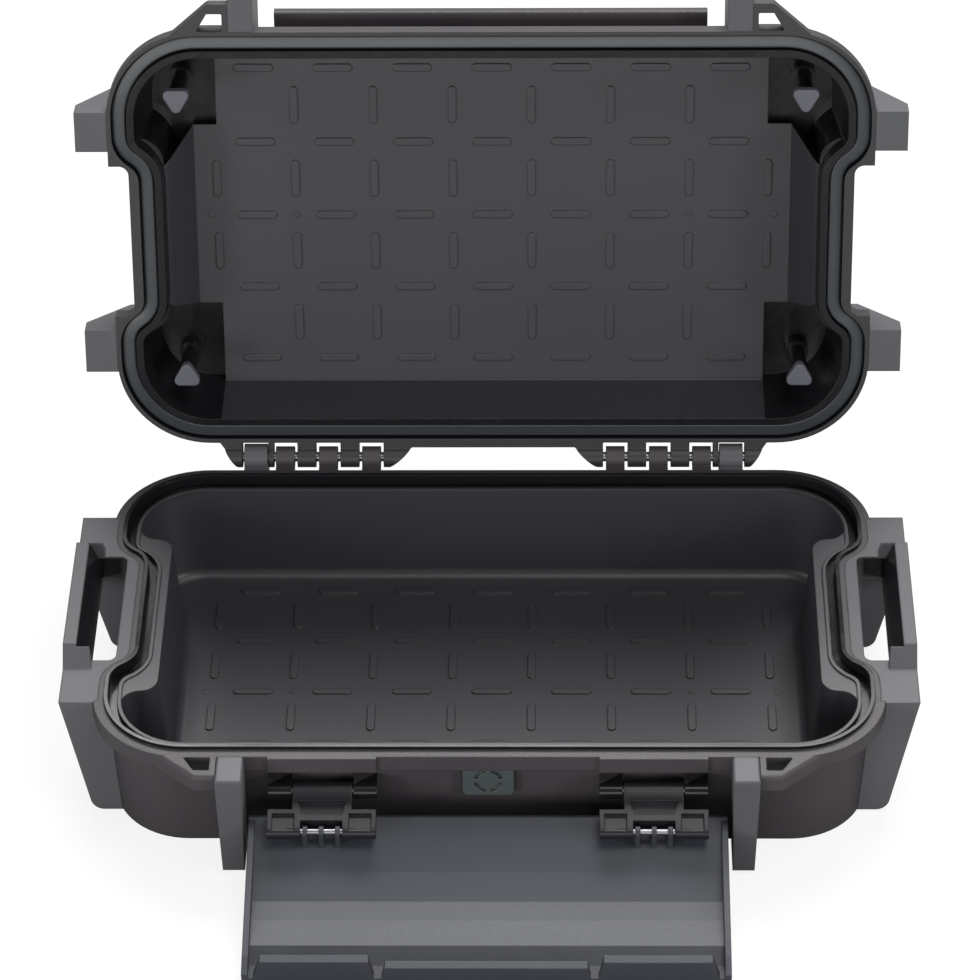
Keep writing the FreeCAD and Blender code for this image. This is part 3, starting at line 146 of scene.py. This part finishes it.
# drift, grain, depth and edge are in mm; a grain too fine to show is drawn as coarse as it needs to be
looks = {
    # polypropylene, satin as it comes off a fine-blasted core: even dark grey, soft highlights
    "inside": dict(name="satin moulded polypropylene", dark="#2c2c30", light="#323236", drift=60, grain=0.5,
                   roughness=(0.38, 0.5), relief=0.12, depth=0.02, edge=0.5, ior=1.49),
    # polypropylene off a spark-eroded cavity: dry, slightly warm black, a grain that glitters
    # the grain is drawn at 0.45 mm, coarser than such a finish usually has, so that it shows
    "outside": dict(name="spark textured polypropylene", dark="#322f33", light="#403b3f", drift=40, grain=0.45,
                    roughness=(0.42, 0.7), relief=0.5, depth=0.08, edge=0.5, ior=1.49),
    # the lid's parting face: darker, with a finer grain
    "rim": dict(name="fine textured polypropylene", dark="#242326", light="#2c2a2d", drift=40, grain=0.35,
                roughness=(0.4, 0.55), relief=0.2, depth=0.03, edge=0.45, ior=1.49),
    # polypropylene off a polished core: near black, mirrors its surroundings
    "polished": dict(name="polished polypropylene", dark="#131215", light="#1a181b", drift=30, grain=3.0,
                     roughness=(0.16, 0.24), relief=0.0, depth=0.02, edge=0.2, ior=1.49, shine=0.32),
    # thermoplastic elastomer moulded over the shell: mid grey, dull, soft edges
    "bumper": dict(name="overmoulded elastomer", dark="#444548", light="#4d4e51", drift=35, grain=0.35,
                   roughness=(0.5, 0.62), relief=0.1, depth=0.02, edge=0.7, ior=1.5, sheen=0.04),
    # cured EPDM gasket: smooth skin with a slow blue-grey gloss
    "seal": dict(name="moulded EPDM rubber", dark="#2c3033", light="#363a3d", drift=20, grain=0.4,
                 roughness=(0.26, 0.36), relief=0.05, depth=0.01, edge=0.3, ior=1.52),
    # ABS latch: satin, a little blue
    "latch": dict(name="satin moulded ABS", dark="#2f3138", light="#36383f", drift=45, grain=0.4,
                  roughness=(0.42, 0.52), relief=0.08, depth=0.015, edge=0.45, ior=1.53, shine=0.3),
    # acetal links: slick black with rounded edges
    "link": dict(name="polished acetal", dark="#19191c", light="#202024", drift=15, grain=1.2,
                 roughness=(0.3, 0.36), relief=0.0, depth=0.02, edge=0.45, ior=1.48, shine=0.3),
    # nylon caps, flat grey
    "cap": dict(name="moulded nylon", dark="#4a4b53", light="#52535b", drift=8, grain=0.4,
                roughness=(0.4, 0.5), relief=0.08, depth=0.015, edge=0.6, ior=1.53),
    # the valve's cover: harder, darker, faintly green-grey
    "valve": dict(name="moulded glass filled nylon", dark="#3d4444", light="#474e4e", drift=10, grain=0.35,
                  roughness=(0.36, 0.48), relief=0.12, depth=0.02, edge=0.4, ior=1.53),
    # stretched PTFE film
    "film": dict(name="stretched PTFE film", dark="#d8d8d4", light="#e2e2de", drift=3, grain=0.2,
                 roughness=(0.6, 0.7), relief=0.1, depth=0.01, edge=0.1, ior=1.35),
}
surfaces = {key: mouldedSurface(look) for key, look in looks.items()}
surfaces["steel"] = drawnSteel(dict(name="drawn stainless steel", color="#8f9093", line=0.08, stretch=0.03,
                                    roughness=(0.3, 0.42), relief=0.15, depth=0.01))
print("materials made:", len(surfaces))


# The seal line, which the rims, the gasket and the mould regions all follow

sealLine = dict(halfLength=111.9, halfWidth=64.1, corner=24.3, waist=7.7, waistHalf=19.5, shoulderHalf=34.0)


def sealQuarter(steps=10):
    # from the middle of the right side round the corner to the middle of the long side, in mm
    s = sealLine
    spread = s["shoulderHalf"] - s["waistHalf"]
    bend = (s["waist"] ** 2 + spread ** 2) / (4 * s["waist"])
    turn = math.asin(spread / (2 * bend))
    low = s["halfLength"] - s["waist"]
    points = [(low, 0.0)]
    for i in range(steps + 1):
        a = turn * i / steps
        points.append((low + bend * (1 - math.cos(a)), s["waistHalf"] + bend * math.sin(a)))
    for i in range(steps - 1, -1, -1):
        a = turn * i / steps
        points.append((s["halfLength"] - bend * (1 - math.cos(a)), s["shoulderHalf"] - bend * math.sin(a)))
    for i in range(2 * steps + 1):
        a = math.pi / 2 * i / (2 * steps)
        points.append((s["halfLength"] - s["corner"] * (1 - math.cos(a)),
                       s["halfWidth"] - s["corner"] * (1 - math.sin(a))))
    return points


def sealLoop():
    right = sealQuarter()
    upper = right + [(-x, y) for x, y in reversed(right)]
    return upper + [(-x, -y) for x, y in upper[1:-1]]


def insetOf(x, y):
    # how far inside the seal line each point lies, in mm, negative outside
    loop = np.array(sealLoop())
    ends = np.roll(loop, -1, axis=0)
    spots = np.stack([x, y], axis=1)
    best = np.full(len(spots), 1e9)
    crossings = np.zeros(len(spots), bool)
    for a, b in zip(loop, ends):
        edge = b - a
        reach = np.clip(((spots - a) @ edge) / (edge @ edge), 0, 1)
        best = np.minimum(best, np.hypot(*(spots - a - reach[:, None] * edge).T))
        if a[1] != b[1]:
            between = (a[1] > spots[:, 1]) != (b[1] > spots[:, 1])
            crossings ^= between & (spots[:, 0] < edge[0] * (spots[:, 1] - a[1]) / edge[1] + a[0])
    return np.where(crossings, best, -best)


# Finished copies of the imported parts

weld = dict(doubles=0.002, slivers=0.001, sharpAngle=28)
slack = 0.05  # mm of play where faces are sorted by place


def weldedCopy(name, sharp=weld["sharpAngle"]):
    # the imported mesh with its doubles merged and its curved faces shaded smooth
    piece = nodes[name].copy()
    piece.data = nodes[name].data.copy()
    piece.name = name + "_finished"
    piece.parent = None
    for key in list(piece.keys()):
        del piece[key]
    bpy.context.scene.collection.objects.link(piece)
    mesh = bmesh.new()
    mesh.from_mesh(piece.data)
    bmesh.ops.remove_doubles(mesh, verts=mesh.verts, dist=weld["doubles"] * mm)
    bmesh.ops.dissolve_degenerate(mesh, edges=mesh.edges, dist=weld["slivers"] * mm)
    for face in mesh.faces:
        face.smooth = True
    for edge in mesh.edges:
        edge.smooth = len(edge.link_faces) == 2 and edge.calc_face_angle(0) < math.radians(sharp)
    mesh.to_mesh(piece.data)
    mesh.free()
    piece.data.materials.clear()
    return piece


def sliceAcross(piece, levels, turn=None):
    # cuts faces along the borders between two surfaces; levels are (axis, mm) with the lid shut
    mesh = bmesh.new()
    mesh.from_mesh(piece.data)
    for axis, level in levels:
        spot, way = Vector((0, 0, 0)), Vector((0, 0, 0))
        spot[axis], way[axis] = level * mm, 1.0
        if turn:
            spot, way = turn @ spot, turn.to_3x3() @ way
        parts = mesh.verts[:] + mesh.edges[:] + mesh.faces[:]
        bmesh.ops.bisect_plane(mesh, geom=parts, dist=weld["slivers"] * mm, plane_co=spot, plane_no=way)
    mesh.to_mesh(piece.data)
    mesh.free()


def faceTable(piece, turn=None):
    # centre and normal of each face, in mm, with the lid's turned shut
    centres = np.array([(turn @ f.center if turn else f.center)[:] for f in piece.data.polygons]) / mm
    spin = turn.to_3x3() if turn else Matrix.Identity(3)
    normals = np.array([(spin @ f.normal)[:] for f in piece.data.polygons])
    return centres, normals


def paint(piece, keys, choice):
    for key in keys:
        piece.data.materials.append(surfaces[key])
    piece.data.polygons.foreach_set("material_index", choice.astype(np.int32))
    piece.data.update()


# where the base changes its surface, in mm, with the floor's underside at 0
baseRim = dict(height=36.4, channelDeep=3.1, tongueHalf=0.6, lipInset=3.2, lipSlack=0.02, floorTop=3.5,
               handleFrom=101.5, handleHalf=28.2, handleLow=28.4, handleInset=-3.5, earFrom=31.5, earTo=64.0,
               earFront=-65.5, earLow=21.0, earHigh=27.0)


def dressBase():
    piece = weldedCopy("base_shell")
    centres, _ = faceTable(piece)
    x, y, z = centres.T
    inset = insetOf(x, y)
    b = baseRim
    choice = np.zeros(len(x))
    lip = b["lipInset"] - b["lipSlack"]
    polished = (inset > -b["tongueHalf"] - slack) & (inset < lip) & (z > b["height"] - b["channelDeep"])
    handle = (abs(x) > b["handleFrom"]) & (abs(y) < b["handleHalf"]) & (z > b["handleLow"])
    handle &= inset < b["handleInset"]
    ears = (abs(x) > b["earFrom"]) & (abs(x) < b["earTo"]) & (y < b["earFront"])
    ears &= (z > b["earLow"]) & (z < b["earHigh"])
    choice[(inset > lip) & (z > b["floorTop"])] = 1
    choice[polished | handle | ears] = 2
    paint(piece, ["outside", "inside", "polished"], choice)
    finishPiece(piece, "base", ["base_shell"])


# where the lid changes its surface, in mm, with the lid shut; the last four limit parts of a face's normal
lidRegions = dict(parting=36.7, grooveHalf=2.35, grooveDeep=3.25, mouth=4.55, ceiling=58.4, ceilingBand=0.6,
                  pocketTop=62.2, pocketX=84.2, pocketY=29.8, wedgeX=91.3, wedgeSlack=0.1, upward=0.5,
                  slopeLeast=-0.2, slopeMost=-0.995, slopeSideways=0.05)


def dressLid():
    piece = weldedCopy("lid_shell")
    r = lidRegions
    sides = [(0, r["pocketX"]), (0, -r["pocketX"]), (1, r["pocketY"]), (1, -r["pocketY"])]
    grooveTop = r["parting"] + r["grooveDeep"]
    sliceAcross(piece, sides + [(2, grooveTop)], toOpen)
    centres, normals = faceTable(piece, toShut)
    x, y, z = centres.T
    inset = insetOf(x, y)
    choice = np.zeros(len(x))
    up, along = normals[:, 2], abs(normals[:, 1])
    inside = (inset > r["mouth"] - slack) & (z < r["pocketTop"]) & (up < r["upward"])
    slope = (up < r["slopeLeast"]) & (up > r["slopeMost"]) & (along < r["slopeSideways"])
    level = (z < r["ceiling"] + slack) & (z > r["ceiling"] - r["ceilingBand"])
    level &= abs(x) < r["wedgeX"] + r["wedgeSlack"]
    wedge = (abs(y) < r["pocketY"] + slack) & (slope | level)
    choice[inside] = 1
    choice[inside & (abs(x) > r["pocketX"] - slack) & ~wedge] = 2
    choice[(inset > -r["grooveHalf"] - slack) & (inset < r["mouth"] + slack) & (z < grooveTop)] = 2
    choice[(inset < -r["grooveHalf"]) & (z < r["parting"] + slack)] = 3
    paint(piece, ["outside", "inside", "polished", "rim"], choice)
    finishPiece(piece, "lid", ["lid_shell"])


plainPieces = dict(bumper=["bumper", "guard"], cap=["peg_cap"], steel=["pin"], valve=["valve_cover"],
                   film=["membrane"], seal=["valve_seal"], latch=["latch_panel"], link=["latch_link"])
# the latch panel's front is made of flat bands, so even its slight bends stay crisp
creaseAngle = dict(latch=4)


def dressPlain():
    for name in sorted(nodes):
        key = next((k for k, words in plainPieces.items() if any(w in name for w in words)), None)
        if key is None:
            continue
        piece = weldedCopy(name, creaseAngle.get(key, weld["sharpAngle"]))
        piece.data.materials.append(surfaces[key])
        finishPiece(piece, bodyOf(name), [name])


dressBase()
dressLid()
dressPlain()
print("packed parts dressed")


# Gasket: a crowned strip swept along the seal line

# with the lid shut the back is up in the groove, and the inner edge's crest points down at the base
gasket = dict(width=4.1, crest=0.5, faceZ=38.3, backZ=39.9, round=0.62, roundSteps=6)


def sweepTree():
    tree = bpy.data.node_groups.new("sweepStrip", "GeometryNodeTree")
    face = tree.interface
    face.new_socket("Geometry", in_out="INPUT", socket_type="NodeSocketGeometry")
    face.new_socket("Geometry", in_out="OUTPUT", socket_type="NodeSocketGeometry")
    for name in ("Outer Back", "Inner Back", "Inner Crest", "Outer Crest"):
        face.new_socket(name, in_out="INPUT", socket_type="NodeSocketVector")
    face.new_socket("Round", in_out="INPUT", socket_type="NodeSocketFloat")
    face.new_socket("Round Steps", in_out="INPUT", socket_type="NodeSocketInt")
    face.new_socket("Material", in_out="INPUT", socket_type="NodeSocketMaterial")
    given = addNode(tree, "NodeGroupInput")
    block = addNode(tree, "GeometryNodeCurvePrimitiveQuadrilateral", {"mode": "POINTS"},
                    {"Point 1": given.outputs["Outer Back"], "Point 2": given.outputs["Inner Back"],
                     "Point 3": given.outputs["Inner Crest"], "Point 4": given.outputs["Outer Crest"]})
    soft = addNode(tree, "GeometryNodeFilletCurve", {"mode": "POLY"},
                   {"Curve": block.outputs["Curve"], "Count": given.outputs["Round Steps"],
                    "Radius": given.outputs["Round"]})
    upright = addNode(tree, "GeometryNodeSetCurveNormal", {"mode": "Z_UP"},
                      {"Curve": given.outputs["Geometry"]})
    strip = addNode(tree, "GeometryNodeCurveToMesh", {},
                    {"Curve": upright.outputs["Curve"], "Profile Curve": soft.outputs["Curve"]})
    smooth = addNode(tree, "GeometryNodeSetShadeSmooth", {}, {"Geometry": strip.outputs["Mesh"]})
    real = addNode(tree, "GeometryNodeRealizeInstances", {}, {"Geometry": smooth.outputs["Geometry"]})
    coloured = addNode(tree, "GeometryNodeSetMaterial", {},
                       {"Geometry": real.outputs["Geometry"], "Material": given.outputs["Material"]})
    addNode(tree, "NodeGroupOutput", {}, {"Geometry": coloured.outputs["Geometry"]})
    return tree


def growMesh(name, source, tree, values):
    # runs a tree on an object and keeps the result as a plain mesh
    modifier = source.modifiers.new("grow", "NODES")
    modifier.node_group = tree
    sockets = {i.name: i.identifier for i in tree.interface.items_tree if i.in_out == "INPUT"}
    for key, value in values.items():
        modifier[sockets[key]] = value
    view = bpy.context.evaluated_depsgraph_get()
    mesh = bpy.data.meshes.new_from_object(source.evaluated_get(view), depsgraph=view)
    bpy.data.objects.remove(source)
    piece = bpy.data.objects.new(name, mesh)
    bpy.context.scene.collection.objects.link(piece)
    return piece


def sealPath(name, level):
    curve = bpy.data.curves.new(name, "CURVE")
    curve.dimensions = "3D"
    line = curve.splines.new("POLY")
    loop = sealLoop()
    line.points.add(len(loop) - 1)
    for point, (x, y) in zip(line.points, loop):
        point.co = (x * mm, y * mm, level * mm, 1)
    line.use_cyclic_u = True
    path = bpy.data.objects.new(name, curve)
    bpy.context.scene.collection.objects.link(path)
    return path


def makeGasket():
    g = gasket
    half, deep = g["width"] / 2 * mm, (g["backZ"] - g["faceZ"]) * mm
    path = sealPath("gasketPath", g["faceZ"])
    piece = growMesh("gasket", path, sweepTree(), {
        "Outer Back": (half, -deep, 0), "Inner Back": (-half, -deep, 0),
        "Inner Crest": (-half, g["crest"] * mm, 0), "Outer Crest": (half, 0, 0),
        "Round": g["round"] * mm, "Round Steps": g["roundSteps"], "Material": surfaces["seal"]})
    piece.data.transform(toOpen)
    finishPiece(piece, "lid", ["lid_gasket"])


makeGasket()
print("gasket swept")


# Small round marks that gates and ejector pins leave in the moulded faces

marks = dict(floorZ=3.6, ceilingZ=58.4, gateX=60.375, gateRadius=0.9, gateRise=0.22, pinX=86.5,
             pinRadius=1.3, pinRise=0.05)


def markTree():
    tree = bpy.data.node_groups.new("moulded_marks", "GeometryNodeTree")
    face = tree.interface
    face.new_socket("Geometry", in_out="INPUT", socket_type="NodeSocketGeometry")
    face.new_socket("Geometry", in_out="OUTPUT", socket_type="NodeSocketGeometry")
    face.new_socket("Radius", in_out="INPUT", socket_type="NodeSocketFloat")
    face.new_socket("Rise", in_out="INPUT", socket_type="NodeSocketFloat")
    face.new_socket("Material", in_out="INPUT", socket_type="NodeSocketMaterial")
    given = addNode(tree, "NodeGroupInput")
    depth = addNode(tree, "ShaderNodeMath", {"operation": "MULTIPLY", 1: 2.0}, {0: given.outputs["Rise"]})
    disc = addNode(tree, "GeometryNodeMeshCylinder", {"Vertices": 32},
                   {"Radius": given.outputs["Radius"], "Depth": depth.outputs[0]})
    placed = addNode(tree, "GeometryNodeInstanceOnPoints", {},
                     {"Points": given.outputs["Geometry"], "Instance": disc.outputs["Mesh"]})
    real = addNode(tree, "GeometryNodeRealizeInstances", {}, {"Geometry": placed.outputs["Instances"]})
    coloured = addNode(tree, "GeometryNodeSetMaterial", {},
                       {"Geometry": real.outputs["Geometry"], "Material": given.outputs["Material"]})
    addNode(tree, "NodeGroupOutput", {}, {"Geometry": coloured.outputs["Geometry"]})
    return tree


def makeMarks(name, spots, radius, rise, tree, body, turn=None):
    mesh = bpy.data.meshes.new(name)
    mesh.from_pydata([(x * mm, y * mm, z * mm) for x, y, z in spots], [], [])
    source = bpy.data.objects.new(name + "Spots", mesh)
    bpy.context.scene.collection.objects.link(source)
    piece = growMesh(name, source, tree,
                     {"Radius": radius * mm, "Rise": rise * mm, "Material": surfaces["inside"]})
    if turn:
        piece.data.transform(turn)
    finishPiece(piece, body)


def markBothShells():
    m = marks
    tree = markTree()
    for body, node, level, turn in (("base", "base_shell", m["floorZ"], None),
                                    ("lid", "lid_shell", m["ceilingZ"], toOpen)):
        gates = [(s * m["gateX"], 0, level) for s in (-1, 1)]
        pins = [(s * m["pinX"], 0, level) for s in (-1, 1)]
        makeMarks(body + "GateMarks", gates, m["gateRadius"], m["gateRise"], tree, body, turn)
        makeMarks(body + "PinMarks", pins, m["pinRadius"], m["pinRise"], tree, body, turn)


markBothShells()
print("mould marks added")


# Studio: white floor, soft lamps, the photograph's camera

studio = dict(floorSize=12.0, world=0.2, paperGlow=0.85, paper="#f4f4f4", bounce="#9c9c9c")
lamps = dict(
    topBackBox=dict(spot=(0.1, 1.0, 1.45), aim=(0, 0.0, 0.05), size=(1.3, 0.8), power=42.0),
    overheadBox=dict(spot=(0.4, -0.35, 1.5), aim=(0, -0.02, 0.03), size=(0.8, 0.7), power=9.0),
    frontBox=dict(spot=(-0.25, -1.7, 0.3), aim=(0, 0, 0.05), size=(1.6, 0.6), power=10.0),
    lowLeftBox=dict(spot=(-1.2, -1.1, 0.3), aim=(0, 0.05, 0.02), size=(0.3, 0.5), power=10.0),
    lowRightBox=dict(spot=(1.3, -0.9, 0.5), aim=(0, 0.05, 0.02), size=(0.3, 0.5), power=9.0))
photoCamera = dict(distance=1330.997, elevation=37.612, turn=1.152, roll=-0.731, focal=4547.677,
                   target=(0.275, 0.0, 80.818), imageSize=980, sensor=36.0)


def makeCamera():
    c = photoCamera
    e, a, r = (math.radians(c[k]) for k in ("elevation", "turn", "roll"))
    back = Vector((math.sin(a) * math.cos(e), -math.cos(a) * math.cos(e), math.sin(e)))
    side = Vector((math.cos(a), math.sin(a), 0))
    top = back.cross(side)
    right = side * math.cos(r) + top * math.sin(r)
    upward = top * math.cos(r) - side * math.sin(r)
    lens = bpy.data.cameras.new("photoCamera")
    lens.sensor_width = c["sensor"]
    lens.lens = c["focal"] * c["sensor"] / c["imageSize"]
    lens.clip_start, lens.clip_end = 0.01, 50
    camera = bpy.data.objects.new("photoCamera", lens)
    spot = (Vector(c["target"]) + back * c["distance"]) * mm
    turn = Matrix((right, upward, back)).transposed().to_4x4()
    camera.matrix_world = Matrix.Translation(spot) @ turn
    bpy.context.scene.collection.objects.link(camera)
    bpy.context.scene.camera = camera


def backdropMaterial():
    # plain white paper: white where the camera sees it, with a soft shadow, and dimmer to everything
    # else, as a sheet is that ends a little way from the case
    material, tree = newMaterial("white studio paper")
    ray = addNode(tree, "ShaderNodeLightPath").outputs
    seen = addNode(tree, "ShaderNodeMath", {"operation": "MAXIMUM"},
                   {0: ray["Is Camera Ray"], 1: ray["Is Transmission Ray"]})
    share = addNode(tree, "ShaderNodeMath", {"operation": "MULTIPLY", 1: studio["paperGlow"]},
                    {0: seen.outputs[0]})
    tone = addNode(tree, "ShaderNodeMix",
                   {"data_type": "RGBA", 6: srgb(studio["bounce"]), 7: srgb(studio["paper"])},
                   {0: seen.outputs[0]})
    paper = addNode(tree, "ShaderNodeBsdfDiffuse", {}, {"Color": tone.outputs[2]})
    glow = addNode(tree, "ShaderNodeEmission", {"Color": (1, 1, 1, 1), "Strength": 1.0})
    both = addNode(tree, "ShaderNodeMixShader", {},
                   {0: share.outputs[0], 1: paper.outputs[0], 2: glow.outputs[0]})
    addNode(tree, "ShaderNodeOutputMaterial", {}, {"Surface": both.outputs[0]})
    return material


def makeFloor():
    half = studio["floorSize"] / 2
    mesh = bpy.data.meshes.new("studioFloor")
    corners = [(-half, -half, 0), (half, -half, 0), (half, half, 0), (-half, half, 0)]
    mesh.from_pydata(corners, [], [(0, 1, 2, 3)])
    mesh.materials.append(backdropMaterial())
    floor = bpy.data.objects.new("studioFloor", mesh)
    bpy.context.scene.collection.objects.link(floor)


def softbox(name, spot, aim, size, power):
    lamp = bpy.data.lights.new(name, "AREA")
    lamp.shape = "RECTANGLE"
    lamp.size, lamp.size_y = size
    lamp.energy = power
    box = bpy.data.objects.new(name, lamp)
    box.location = spot
    box.rotation_euler = (Vector(spot) - Vector(aim)).to_track_quat("Z", "Y").to_euler()
    bpy.context.scene.collection.objects.link(box)


def makeStudio():
    makeFloor()
    for name, lamp in lamps.items():
        softbox(name, **lamp)
    world = bpy.data.worlds.new("studioWorld")
    bpy.context.scene.world = world
    world.use_nodes = True
    tree = world.node_tree
    tree.nodes.clear()
    ray = addNode(tree, "ShaderNodeLightPath").outputs
    soft = addNode(tree, "ShaderNodeBackground", {"Color": (1, 1, 1, 1), "Strength": studio["world"]})
    white = addNode(tree, "ShaderNodeBackground", {"Color": (1, 1, 1, 1), "Strength": 1.0})
    both = addNode(tree, "ShaderNodeMixShader", {},
                   {0: ray["Is Camera Ray"], 1: soft.outputs[0], 2: white.outputs[0]})
    addNode(tree, "ShaderNodeOutputWorld", {}, {"Surface": both.outputs[0]})


makeCamera()
makeStudio()
bpy.context.scene.view_settings.view_transform = "Standard"
print("studio ready")
